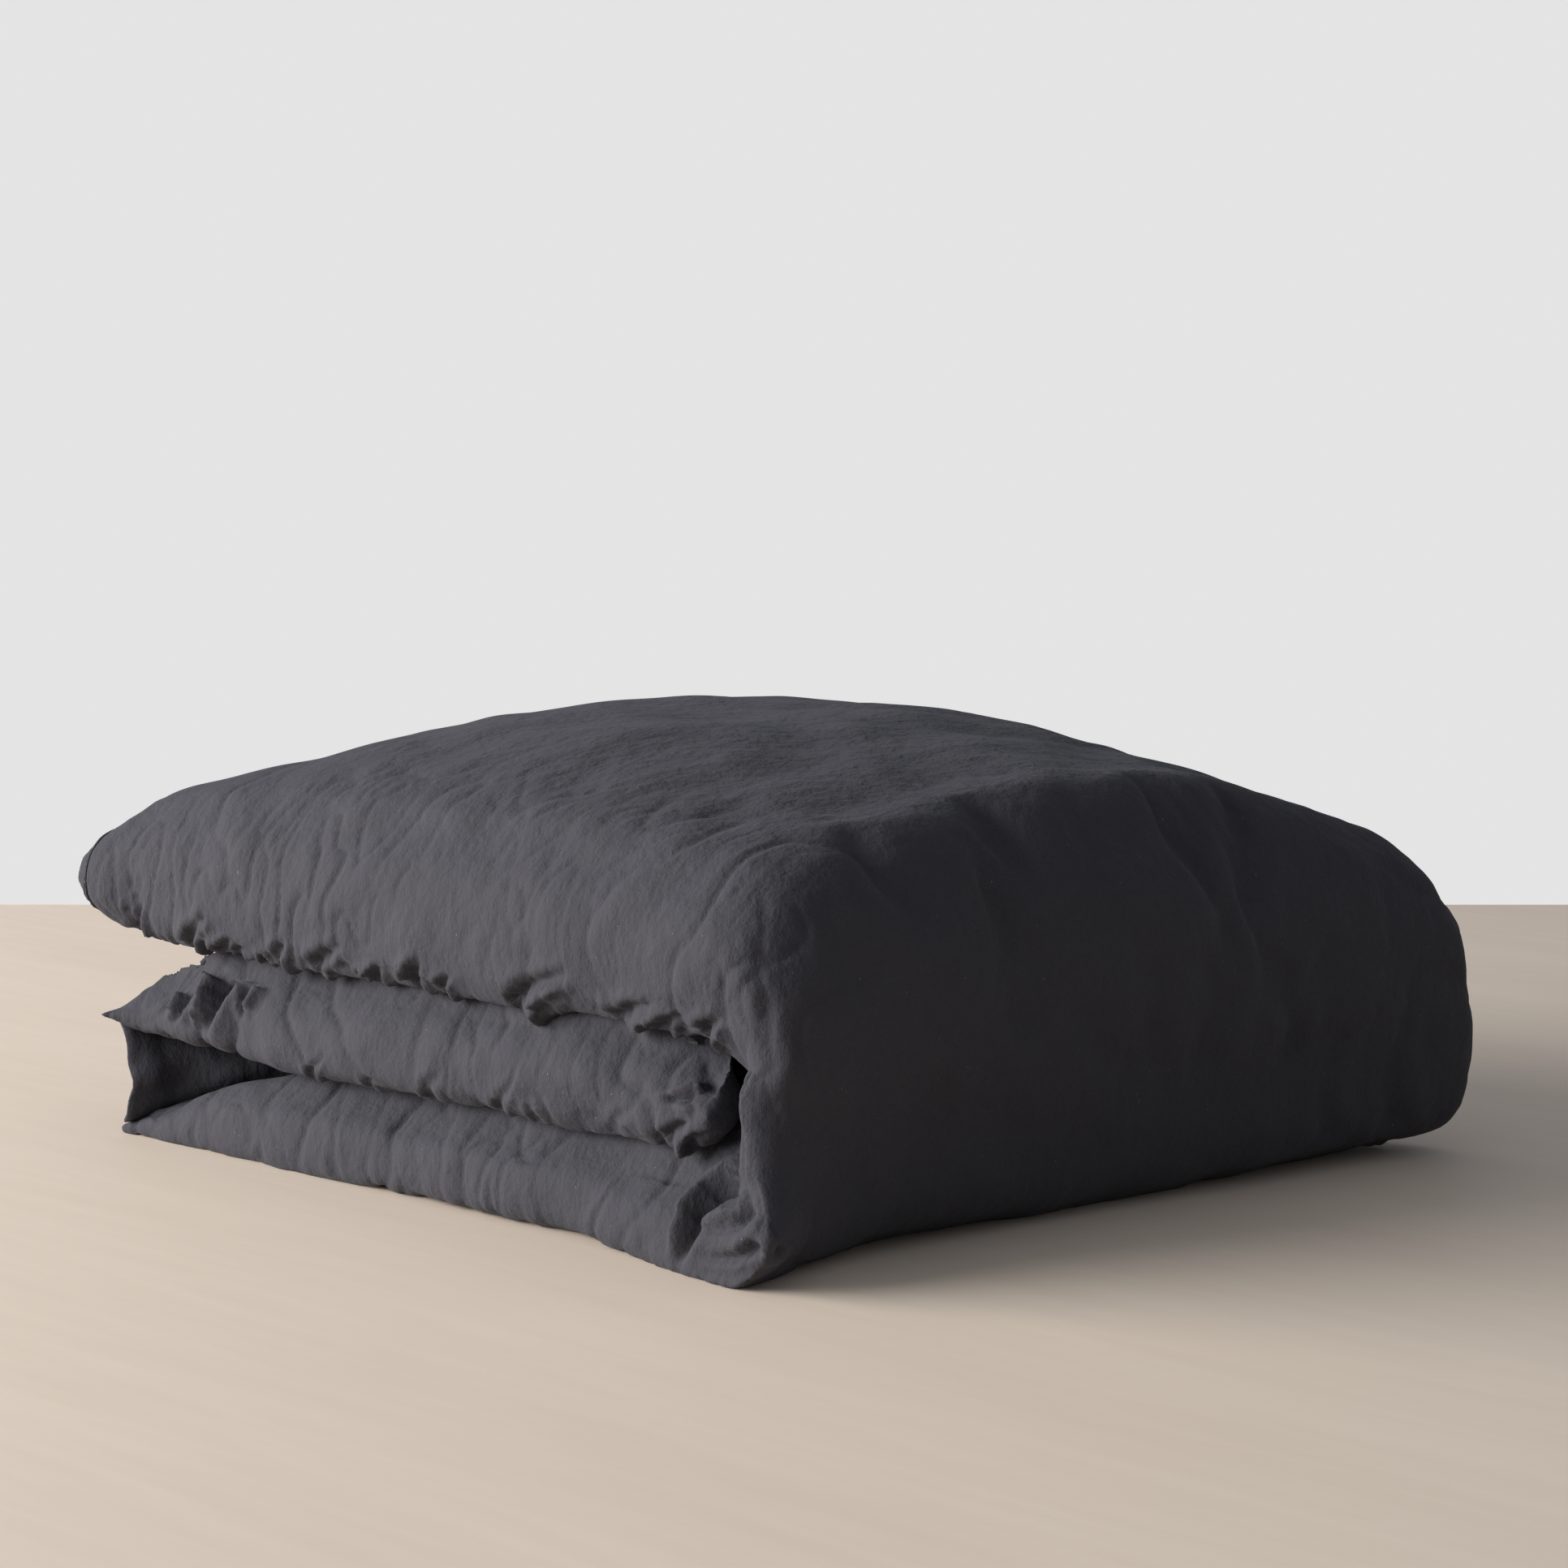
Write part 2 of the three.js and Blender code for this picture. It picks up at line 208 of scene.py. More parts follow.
# %% Cover cloth
def washed_cotton(name, dark, light, lint, thread_pitch, crease_depth):
    cloth = Finish(name)
    broad = cloth.noise(7.0, 4.0, 0.55)
    worn = cloth.noise(46.0, 5.0, 0.62, (1.0, 1.0, 1.7))
    tone = broad * 0.6 + worn * 0.4
    speck = cloth.noise(900.0, 1.0, 0.4, (1.0, 1.0, 0.35)).over(0.80) * cloth.noise(60.0, 2.0).over(0.5)
    body_colour = cloth.between(tone, dark, light)
    slub_one_way = cloth.noise(950.0, 2.0, 0.7, (1.0, 0.15, 0.15))
    slub_other_way = cloth.noise(950.0, 2.0, 0.7, (0.15, 1.0, 1.0))
    slub = slub_one_way * 0.5 + slub_other_way * 0.5
    slub_colour = (light[0] * 1.25, light[1] * 1.25, light[2] * 1.25, 1.0)
    yarn_colour = cloth.between(slub * 0.6, body_colour, slub_colour)
    colour = cloth.between(speck * 0.35, yarn_colour, lint)
    threads = 2.0 * math.pi / thread_pitch
    weave = None
    for axis in ("X", "Y", "Z"):
        split = cloth.node("ShaderNodeSeparateXYZ", None, {0: cloth.place}).out(axis)
        wave = cloth.node("ShaderNodeMath", {"operation": "SINE"}, {0: split * threads}).out(0)
        weave = wave if weave is None else weave + wave
    crumple = cloth.noise(19.0, 6.0, 0.62, (1.0, 1.0, 0.8))
    fine = cloth.noise(95.0, 4.0, 0.6, (1.0, 1.0, 0.55))
    relief = cloth.bump(crumple, 0.55, crease_depth)
    relief = cloth.bump(fine, 0.6, crease_depth * 0.22, relief)
    relief = cloth.bump(slub, 0.35, 0.0004, relief)
    relief = cloth.bump(weave, 0.12, 0.00015, relief)
    cloth.skin_is(Base_Color=colour, Roughness=worn * 0.12 + 0.8, Normal=relief)
    cloth.skin_is(Sheen_Weight=0.05, Sheen_Roughness=0.45, Sheen_Tint=(0.75, 0.76, 0.85, 1.0))
    cloth.skin_is(Specular_IOR_Level=0.16)
    return cloth.material


cover_cloth = washed_cotton(
    "charcoal_percale",
    (0.032, 0.0315, 0.037, 1.0),
    (0.050, 0.049, 0.058, 1.0),
    (0.45, 0.44, 0.43, 1.0),
    0.0009,
    0.012,
)
insert_cloth = washed_cotton(
    "insert_batiste", (0.66, 0.65, 0.62, 1.0), (0.78, 0.77, 0.74, 1.0), (0.80, 0.79, 0.76, 1.0), 0.0008, 0.006
)
tape_cloth = washed_cotton(
    "tie_tape", (0.50, 0.49, 0.46, 1.0), (0.62, 0.61, 0.58, 1.0), (0.7, 0.7, 0.68, 1.0), 0.0012, 0.002
)
stitch_thread = washed_cotton(
    "topstitch_thread",
    (0.075, 0.074, 0.083, 1.0),
    (0.12, 0.12, 0.13, 1.0),
    (0.3, 0.3, 0.3, 1.0),
    0.0006,
    0.001,
)
print("cloths", [m.name for m in (cover_cloth, insert_cloth, tape_cloth, stitch_thread)])

# %% [markdown]
# The buttons are smoky shell: a smooth dark body with soft banding and a polished coat.

# %% Button shell
def smoky_shell():
    shell = Finish("smoky_shell")
    bands = shell.noise(240.0, 3.0, 0.5, (1.0, 0.3, 1.0))
    colour = shell.between(bands, (0.05, 0.05, 0.055, 1.0), (0.16, 0.155, 0.15, 1.0))
    shell.skin_is(Base_Color=colour, Roughness=bands * 0.2 + 0.16)
    shell.skin_is(Normal=shell.bump(bands, 0.2, 0.0003))
    return shell.material


button_shell = smoky_shell()

# %% [markdown]
# The floor is a plain pale board with the faintest grain, ending a little over a metre behind the
# stack. Behind it is nothing but pale light: the world is pale grey to the camera and dim as a
# lamp, so that the soft lights alone shade the cloth.

# %% Floor
def pale_board():
    board = Finish("pale_board")
    grain = board.noise(9.0, 5.0, 0.6, (0.6, 7.0, 1.0))
    rings = board.noise(2.2, 3.0, 0.5, (0.5, 4.0, 1.0))
    colour = board.between(grain * 0.5 + rings * 0.5, (0.76, 0.635, 0.51, 1.0), (0.91, 0.785, 0.65, 1.0))
    board.skin_is(Base_Color=colour, Roughness=grain * 0.1 + 0.5, Specular_IOR_Level=0.3)
    return board.material


def add_floor(width, near, far):
    bm = bmesh.new()
    bmesh.ops.create_grid(bm, x_segments=1, y_segments=1, size=0.5)
    bmesh.ops.scale(bm, vec=(width, near + far, 1.0), verts=bm.verts)
    bmesh.ops.translate(bm, vec=(0.0, (far - near) / 2, 0.0), verts=bm.verts)
    bmesh.ops.rotate(bm, matrix=Matrix.Rotation(CAMERA_AZIMUTH, 3, "Z"), verts=bm.verts)
    mesh = bpy.data.meshes.new("floor")
    bm.to_mesh(mesh)
    bm.free()
    floor = bpy.data.objects.new("floor", mesh)
    floor.data.materials.append(pale_board())
    scene.collection.objects.link(floor)
    return floor


floor = add_floor(9.0, 6.0, 1.25)

# %% [markdown]
# One broad lamp stands low on the camera's left and does most of the work, so the front face is
# bright and the wrap falls away into shade. A weak one overhead keeps the shaded side readable.

# %% Lights and world
def add_soft_lamp(name, direction, distance, size, watts, colour):
    lamp = bpy.data.lights.new(name, "AREA")
    lamp.shape = "RECTANGLE"
    lamp.size, lamp.size_y = size
    lamp.energy = watts
    lamp.color = colour
    holder = bpy.data.objects.new(name, lamp)
    place = Vector(direction).normalized() * distance
    holder.matrix_world = Matrix.Translation(place) @ place.to_track_quat("Z", "Y").to_matrix().to_4x4()
    scene.collection.objects.link(holder)
    return holder


add_soft_lamp("window_lamp", (-0.60, -0.78, 0.30), 4.6, (5.0, 2.4), 435.0, (1.0, 0.99, 0.985))
add_soft_lamp("ceiling_lamp", (-0.10, -0.05, 1.0), 3.0, (3.0, 3.0), 6.0, (0.96, 0.98, 1.0))

world = bpy.data.worlds.new("pale_room")
world.use_nodes = True
scene.world = world
tree = world.node_tree
seen = tree.nodes["Background"]
seen.inputs["Color"].default_value = (0.775, 0.775, 0.775, 1.0)
lit = tree.nodes.new("ShaderNodeBackground")
lit.inputs["Color"].default_value = (0.82, 0.86, 0.95, 1.0)
lit.inputs["Strength"].default_value = 0.285
chosen = tree.nodes.new("ShaderNodeMixShader")
tree.links.new(tree.nodes.new("ShaderNodeLightPath").outputs["Is Camera Ray"], chosen.inputs[0])
tree.links.new(lit.outputs[0], chosen.inputs[1])
tree.links.new(seen.outputs[0], chosen.inputs[2])
tree.links.new(chosen.outputs[0], tree.nodes["World Output"].inputs["Surface"])
scene.view_settings.view_transform = "Standard"

# %% [markdown]
# # The shape of the folded cover
# Everything soft here starts as a cube of little squares that is moved onto the stack by a rule.
# Three numbers place a point: how far along the folded length it is, how far across from the open
# front to the back, and how far through from the inner face to the outer one. fullness() is how
# much of its crown a leaf keeps near its open sides, where there is less filling to hold it up.

# %% Heights of the leaves
CURL = 0.001
SWELL = 0.020
GRIP_GAP = 0.003


def mix(first, second, share):
    return first + (second - first) * share


def eased(share):
    return np.sin(np.clip(share, 0.0, 1.0) * math.pi / 2)


def fullness(across, squareness):
    return (1.0 - np.minimum(np.abs(across), 1.0) ** squareness) ** (1.0 / squareness)


def bottom_under(x, across):
    return CURL * np.clip((np.abs(across) - 0.9) / 0.1, 0.0, 1.0) ** 2


def bottom_top(x, across):
    level = mix(0.044, bottom_crown_z, fullness(across, 2.2))
    return np.minimum(level, 0.012 + 0.262 * (x - folded_end_x))


def middle_under(x, across):
    left_share = np.clip((-0.14 - x) / 0.164, 0.0, 1.0)
    return mix(bottom_top(np.maximum(x, -0.14), across) + GRIP_GAP, 0.069, left_share)


def middle_top(x, across):
    level = mix(0.107, middle_crown_z, fullness(across, 2.2))
    return mix(0.080, level, eased((x - folded_end_x) / 0.154))


def top_under(x, across):
    level = mix(0.107, middle_crown_z, fullness(across, 2.2)) + GRIP_GAP
    return mix(0.124, level, eased((x - hemmed_end_x) / 0.135))


def top_top(x, across):
    drop = (stack_top_z - wrap_top_z) * np.clip(x / hinge_x, 0.0, 1.0) ** 2
    far_corner = np.clip(x / hinge_x, 0.0, 1.0) * np.clip(across, 0.0, 1.0) ** 1.5
    level = mix(0.203, stack_top_z - SWELL - drop, fullness(across, 2.0)) - 0.026 * far_corner
    return mix(0.200, level, eased((x - hemmed_end_x) / 0.255) ** 0.72)


print("crown heights", [round(float(f(0.0, 0.0)), 3) for f in (bottom_top, middle_top, top_top)])

# %% [markdown]
# The bottom leaf, the wrap and the top leaf are one strip of duvet, folded round the middle leaf
# like the letter C. wrap_places() walks along that C: the first two fifths are the bottom leaf, the
# next fifth turns upwards round the hinge lines, the rest is the top leaf. The open side edges are
# full in the middle of their thickness and drawn in towards the folds, as a stuffed edge is.

# %% Places on the wrap and on the middle leaf
BOTTOM_SHARE = 0.4
TOP_SHARE = 0.6
EDGE_DRAW = 0.025


def drawn_in(v, w, thickness):
    pull = np.minimum(EDGE_DRAW, thickness * 0.42) * np.abs(2.0 * w - 1.0) ** np.where(w > 0.5, 2.3, 3.4)
    return v * (half_depth + 0.001 - pull)


def round_point(turn, squareness, reach, half_height, centre_z):
    side = (np.abs(np.cos(turn)) ** squareness + np.abs(np.sin(turn)) ** squareness) ** (-1.0 / squareness)
    return hinge_x + reach * side * np.cos(turn), centre_z + half_height * side * np.sin(turn)


def wrap_places(s, v, w):
    across = v
    leaf_x = np.where(s < 0.5, mix(folded_end_x - 0.010, hinge_x, s / BOTTOM_SHARE), 0.0)
    top_x = mix(hinge_x, hemmed_end_x - 0.004, (s - TOP_SHARE) / (1.0 - TOP_SHARE))
    leaf_x = np.where(s < 0.5, leaf_x, top_x)
    outer_z = np.where(s < 0.5, bottom_under(leaf_x, across), top_top(leaf_x, across))
    inner_z = np.where(s < 0.5, bottom_top(leaf_x, across), top_under(leaf_x, across))
    turn = mix(-math.pi / 2, math.pi / 2, (s - BOTTOM_SHARE) / (TOP_SHARE - BOTTOM_SHARE))
    low, high = bottom_under(hinge_x, across), top_top(hinge_x, across)
    reach = wrap_reach + 0.003
    squareness = np.where(turn < 0.0, 5.0, 2.5)
    outer = round_point(turn, squareness, reach, (high - low) / 2, (high + low) / 2)
    low, high = bottom_top(hinge_x, across), top_under(hinge_x, across)
    wall = mix(0.019, 0.072, np.clip((1.0 - np.abs(v)) / 0.22, 0.0, 1.0) ** 0.8)
    inner = round_point(turn, 2.4, reach - wall, (high - low) / 2, (high + low) / 2)
    turning = (s > BOTTOM_SHARE) & (s < TOP_SHARE)
    x = np.where(turning, mix(inner[0], outer[0], w), leaf_x)
    z = np.where(turning, mix(inner[1], outer[1], w), mix(inner_z, outer_z, w))
    nose = np.clip((s - 0.977) / 0.023, 0.0, 1.0)
    z = mix(z, (inner_z + outer_z) / 2, 1.0 - np.sqrt(1.0 - 0.96 * nose * nose))
    round_the_turn = np.hypot(outer[0] - inner[0], outer[1] - inner[1])
    thickness = np.where(turning, round_the_turn, np.abs(outer_z - inner_z))
    thickness = np.where((s < 0.5) & (w > 0.5), thickness * 0.10, thickness)
    return np.stack((x, drawn_in(v, w, thickness), z), axis=1)


def middle_places(s, v, w):
    across = v
    flare = np.clip((np.abs(v) - 0.84) / 0.12, 0.0, 1.0)
    right_end = mix(closure_end_x, 0.276, flare * flare * (3.0 - 2.0 * flare))
    x = mix(folded_end_x - 0.012, right_end, s)
    low, high = middle_under(x, across), middle_top(x, across)
    rounding = np.clip((s - 0.93) / 0.07, 0.0, 1.0) ** 2
    z = mix(mix(low, high, w), (low + high) / 2, rounding * 0.7)
    return np.stack((x, drawn_in(v, w, high - low), z), axis=1)


# %% [markdown]
# soft_block() makes the cube of little squares for any part of that strip, by cutting a cube's
# edges along each of its three directions in turn, and then moves every corner by the rule.

# %% Soft blocks
def soft_block(places, along, across, through, s=(0.0, 1.0), v=(-1.0, 1.0), w=(0.0, 1.0)):
    bm = bmesh.new()
    bmesh.ops.create_cube(bm, size=1.0)
    for axis, cuts in ((0, along), (1, across), (2, through)):
        edges = [e for e in bm.edges if abs((e.verts[0].co - e.verts[1].co)[axis]) > 1e-6]
        bmesh.ops.subdivide_edges(bm, edges=edges, cuts=cuts, use_grid_fill=True)
    unit = np.array([vert.co for vert in bm.verts]) + 0.5
    moved = places(mix(*s, unit[:, 0]), mix(*v, unit[:, 1]), mix(*w, unit[:, 2]))
    for vert, place in zip(bm.verts, moved):
        vert.co = place
    bmesh.ops.recalc_face_normals(bm, faces=bm.faces)
    return bm


def new_piece(name, bm, cloth):
    mesh = bpy.data.meshes.new(name)
    bm.to_mesh(mesh)
    bm.free()
    piece = bpy.data.objects.new(name, mesh)
    piece.data.materials.append(cloth)
    scene.collection.objects.link(piece)
    for face in piece.data.polygons:
        face.use_smooth = True
    return piece


def corners(piece):
    flat = np.zeros(len(piece.data.vertices) * 3)
    piece.data.vertices.foreach_get("co", flat)
    return flat.reshape(-1, 3)


def outwards(piece):
    flat = np.zeros(len(piece.data.vertices) * 3)
    piece.data.vertices.foreach_get("normal", flat)
    return flat.reshape(-1, 3)


def move_corners(piece, places):
    piece.data.vertices.foreach_set("co", np.ascontiguousarray(places, dtype=np.float64).ravel())
    piece.data.update()


# %% [markdown]
# Real stuffing pushes the cloth out until the cloth is tight, and where there is more cloth than
# the stuffing needs, it buckles into soft wrinkles. That is what a cloth simulation with a little
# air pressure and slightly oversized cloth gives. The block is first remeshed into even squares,
# because the simulation bends even squares best. settle() bakes a modifier into the mesh.

# %% Filling a soft block by simulation
FRAMES = 20


def settle(piece):
    shown = piece.evaluated_get(bpy.context.evaluated_depsgraph_get())
    mesh = bpy.data.meshes.new_from_object(shown)
    old = piece.data
    piece.modifiers.clear()
    piece.data = mesh
    bpy.data.meshes.remove(old)
    for face in piece.data.polygons:
        face.use_smooth = True


def even_squares(piece, size):
    remesh = piece.modifiers.new("even squares", "REMESH")
    remesh.mode = "VOXEL"
    remesh.voxel_size = size
    remesh.use_smooth_shade = True
    settle(piece)


def fill_with_air(piece, pressure, extra_cloth, cap):
    before = corners(piece)
    cloth = piece.modifiers.new("filling", "CLOTH")
    cloth.settings.use_pressure = True
    cloth.settings.uniform_pressure_force = pressure
    cloth.settings.shrink_min = -extra_cloth
    cloth.settings.effector_weights.gravity = 0.0
    cloth.settings.bending_stiffness = 0.35
    cloth.settings.mass = 0.25
    cloth.point_cache.frame_start = 1
    cloth.point_cache.frame_end = FRAMES
    for step in range(1, FRAMES + 1):
        scene.frame_set(step)
    settle(piece)
    scene.frame_set(1)
    moved = corners(piece) - before
    far = np.linalg.norm(moved, axis=1, keepdims=True)
    move_corners(piece, before + moved * np.minimum(1.0, cap / np.maximum(far, 1e-9)))
    print(piece.name, "filled, typical move", round(float(np.median(far)) * 1000, 1), "mm")


def one_subdivision(piece):
    finer = piece.modifiers.new("finer", "SUBSURF")
    finer.levels = 1
    finer.render_levels = 1
    settle(piece)


# %% [markdown]
# The two soft bodies of the cover: the C-shaped strip and the middle leaf inside it.

# %% The wrapped strip and the middle leaf
SQUARE = 0.0085
folded_strip = new_piece("folded_strip", soft_block(wrap_places, 230, 66, 9), cover_cloth)
middle_leaf = new_piece("middle_leaf", soft_block(middle_places, 90, 66, 7), cover_cloth)
def finer_near_front(piece, first_y):
    bm = bmesh.new()
    bm.from_mesh(piece.data)
    near = [edge for edge in bm.edges if max(edge.verts[0].co.y, edge.verts[1].co.y) < first_y]
    bmesh.ops.subdivide_edges(bm, edges=near, cuts=1, use_grid_fill=True)
    bm.to_mesh(piece.data)
    bm.free()
    for face in piece.data.polygons:
        face.use_smooth = True


for leaf in (folded_strip, middle_leaf):
    even_squares(leaf, SQUARE)
    fill_with_air(leaf, 4.0, 0.035, 0.010)
    one_subdivision(leaf)
    finer_near_front(leaf, -0.225)
    print(leaf.name, len(leaf.data.polygons), "faces")

# %% [markdown]
# Filling swells the leaves into one another, and the table is in the way below. Each point of a
# leaf goes back to its own side of the gap, so that the leaves touch without passing through.

# %% Keeping the leaves apart
def side_share(points):
    return np.clip(points[:, 1] / (half_depth - EDGE_DRAW * 0.7), -1.0, 1.0)


def held_below(z, level):
    return np.where(z > level, level + 0.25 * (z - level), z)


def keep_strip_clear(points):
    x, z, across = points[:, 0], points[:, 2], side_share(points)
    above_bottom = z > bottom_top(x, across) + 0.006
    below_top = z < top_under(x, across) - 0.006
    bulged_in = (x > hinge_x - 0.022) & (x < hinge_x) & above_bottom & below_top
    x = np.where(bulged_in, hinge_x + 0.001, x)
    points[:, 0] = x
    inside = x < hinge_x
    level = (bottom_top(x, across) + top_under(x, across)) / 2
    lower = inside & (z < level)
    z = np.where(lower, held_below(z, bottom_top(x, across)), z)
    z = np.where(inside & ~lower, -held_below(-z, -top_under(x, across)), z)
    points[:, 2] = np.maximum(z, 0.0)
    return points


def keep_middle_clear(points):
    x, z, across = points[:, 0], points[:, 2], side_share(points)
    z = -held_below(-z, -middle_under(x, across))
    points[:, 2] = np.where(np.abs(across) < 0.95, held_below(z, middle_top(x, across)), z)
    return points


# %% [markdown]
# The near corner stands squarer than air alone would leave it, because the wrap is tugged tight
# round it. tug() takes hold of the cloth at a place and draws it along, less and less further off.

# %% Tugging the corners
def tug(points, place, reach, pull):
    far = np.linalg.norm(points - np.array(place), axis=1)
    return points + np.exp(-((far / reach) ** 2))[:, None] * np.array(pull)


def tug_corners(points):
    right = hinge_x + wrap_reach
    points = tug(points, (right, -half_depth, 0.014), 0.060, (0.018, -0.016, -0.012))
    points = tug(points, (right - 0.09, -half_depth, 0.008), 0.060, (0.0, -0.008, -0.008))
    points = tug(points, (hemmed_end_x, -half_depth, 0.150), 0.050, (-0.004, -0.010, 0.0))
    points[:, 1] = np.clip(points[:, 1], -half_depth - 0.008, half_depth + 0.008)
    return points


move_corners(folded_strip, tug_corners(corners(folded_strip)))
move_corners(folded_strip, keep_strip_clear(corners(folded_strip)))
middle_tip = (folded_end_x, -half_depth, 0.074)
move_corners(middle_leaf, tug(corners(middle_leaf), middle_tip, 0.050, (-0.003, -0.006, 0.0)))
move_corners(middle_leaf, keep_middle_clear(corners(middle_leaf)))

# %% [markdown]
# Creases are pressed in afterwards, as a hand would: a fold of cloth is a valley with a rounded
# ridge beside it, and it dies away at its ends. Presser keeps a search tree of one mesh, pulls a
# fold's path onto the cloth, and adds up how far each point moves along its own normal.

# %% Pressing folds into the cloth
class Presser:
    def __init__(self, piece):
        self.piece = piece
        self.points = corners(piece)
        self.normals = outwards(piece)
        self.shift = np.zeros(len(self.points))
        self.tree = kdtree.KDTree(len(self.points))
        for index, point in enumerate(self.points):
            self.tree.insert(point, index)
        self.tree.balance()

    def on_cloth(self, path, steps=14):
        path = np.array(path, dtype=float)
        spots = np.linspace(0.0, len(path) - 1.0, steps)
        low = np.minimum(spots.astype(int), len(path) - 2)
        share = (spots - low)[:, None]
        share = share * share * (3 - 2 * share) if len(path) == 2 else share
        wanted = path[low] * (1 - share) + path[low + 1] * share
        found = [self.tree.find(Vector(place))[1] for place in wanted]
        return self.points[found], self.normals[found]

    def fold(self, path, width, depth, ridge=0.5, lean=0.0, fade=(0.3, 0.5)):
        line, line_normals = self.on_cloth(path)
        low, high = line.min(axis=0) - 3 * width, line.max(axis=0) + 3 * width
        near = np.where(np.all((self.points > low) & (self.points < high), axis=1))[0]
        best = np.full(len(near), 1e9)
        along = np.zeros(len(near))
        sign = np.zeros(len(near))
        for index in range(len(line) - 1):
            step = line[index + 1] - line[index]
            length = max(float(step @ step), 1e-12)
            gap = self.points[near] - line[index]
            share = np.clip(gap @ step / length, 0.0, 1.0)
            off = gap - share[:, None] * step
            far = np.linalg.norm(off, axis=1)
            closer = far < best
            best = np.where(closer, far, best)
            along = np.where(closer, (index + share) / (len(line) - 1), along)
            across = np.cross(step, line_normals[index])
            sign = np.where(closer, np.sign(off @ across), sign)
        fade_in = np.clip(along / max(fade[0], 1e-6), 0.0, 1.0)
        fade_out = np.clip((1 - along) / max(fade[1], 1e-6), 0.0, 1.0)
        rise = fade_in * fade_out
        rise = rise * (2.0 - rise)
        local = width * (1.25 - 0.65 * along)
        valley = np.exp(-((best / (0.5 * local)) ** 2))
        bank = np.exp(-(((best - local) / (0.6 * local)) ** 2)) * (1.0 + lean * sign)
        self.shift[near] += depth * rise * (ridge * bank - valley)

    def done(self, most=0.016):
        moved = np.clip(self.shift, -most, most)
        move_corners(self.piece, self.points + self.normals * moved[:, None])


# %% [markdown]
# Broad soft hills and hollows come first, from smooth noise, because no stuffed surface is even.

# %% Hills and hollows
def hills(presser, size, height, seed):
    offset = Vector((seed, seed * 1.7, seed * 0.3))
    stretch = Vector((1.0, 1.0, 1.4))
    for index, point in enumerate(presser.points):
        spot = Vector(point) * stretch / size + offset
        presser.shift[index] += height * noise.noise(spot)


strip_press = Presser(folded_strip)
hills(strip_press, 0.15, 0.0050, 3.0)
hills(strip_press, 0.048, 0.0030, 8.0)
middle_press = Presser(middle_leaf)
hills(middle_press, 0.10, 0.006, 5.0)
hills(middle_press, 0.035, 0.0022, 9.0)

# %% [markdown]
# Percale is crisp, so it also takes sharp little creases, most of all near the open sides. A sharp
# crease lies where a smooth noise passes through zero; the steep power keeps it narrow.

# %% Crisp creases
def crisp_creases(presser, size, depth, seed, stretch, calm):
    offset = Vector((seed, seed * 0.7, seed * 1.9))
    turned = Vector(stretch)
    for index, point in enumerate(presser.points):
        side = min(1.0, max(0.0, (abs(point[1]) - 0.16) / 0.12))
        spot = Vector(point) * turned / size + offset
        sharp = (1.0 - min(1.0, abs(noise.noise(spot)) * 2.2)) ** 5
        patch = 0.5 + 0.9 * noise.noise(Vector(point) * 9.0 - offset)
        presser.shift[index] -= depth * sharp * max(0.0, patch) * mix(calm, 1.0, side)


crisp_creases(strip_press, 0.070, 0.0042, 21.0, (1.6, 1.0, 0.8), 0.10)
crisp_creases(strip_press, 0.034, 0.0022, 34.0, (1.5, 1.0, 0.7), 0.08)
crisp_creases(middle_press, 0.060, 0.0042, 27.0, (1.3, 1.0, 0.8), 0.2)
crisp_creases(middle_press, 0.030, 0.0022, 39.0, (1.4, 1.0, 0.7), 0.2)

# %% [markdown]
# Gathers along the open sides. Where a leaf's side edge is drawn in, spare cloth runs up the face
# in short pleats. They are scattered by a seeded random stream, long and short, leaning a little.

# %% Gathers along the open sides
chance = random.Random(11)


def gathers(presser, side, places, length, depth, under):
    for x in places:
        y = side * (half_depth - 0.012)
        z = under(x, 1.0)
        if chance.random() < 0.30:
            continue
        reach = length * chance.uniform(0.35, 1.25)
        lean = chance.uniform(-0.3, 0.9) * reach
        width = chance.uniform(0.0045, 0.0085)
        start = (x, y + side * -0.004, z + 0.004)
        middle = (x + lean * 0.4, y + side * 0.010, z + reach * 0.45)
        end = (x + lean, y - side * reach * 0.25, z + reach * 0.85)
        deep = depth * chance.uniform(0.3, 1.15)
        presser.fold((start, middle, end), width, deep, 0.55, chance.uniform(-0.6, 0.6), (0.08, 0.75))


def spaced(first, last, pitch):
    count = int((last - first) / pitch)
    return [first + (index + chance.uniform(-0.3, 0.3)) * pitch for index in range(count + 1)]


def zero_height(x, across):
    return 0.002


for side in (-1.0, 1.0):
    gathers(strip_press, side, spaced(-0.29, 0.27, 0.036), 0.050, 0.0042, top_under)
    gathers(strip_press, side, spaced(-0.26, 0.25, 0.050), 0.035, 0.0014, zero_height)
    gathers(middle_press, side, spaced(-0.20, 0.24, 0.055), 0.045, 0.0024, middle_under)
print("gathers pressed")

# %% [markdown]
# Then the folds that give this stack its own look, each laid one by one: the long S-shaped fold near
# the front corner, the deep dimple at the middle leaf's folded end, the crease where the bottom
# leaf turns up into the wrap, and the few drag lines on the smooth wrap.

# %% Folds laid one by one
FRONT = -half_depth
TOP_SEAM = 0.113
MIDDLE_SEAM = 0.052


def pucker(press, x, foot, rise, lean, width, depth, bank=0.8, side=0.3):
    start = (x, FRONT, foot)
    middle = (x + 0.35 * lean, FRONT, foot + 0.55 * rise)
    end = (x + lean, FRONT + 0.003, foot + rise)
    press.fold((start, middle, end), width, depth, bank, side, (0.0, 0.65))


def top_pucker(x, rise, lean, width, depth, side=0.3):
    pucker(strip_press, x, TOP_SEAM, rise, lean, width, depth, 0.85, side)


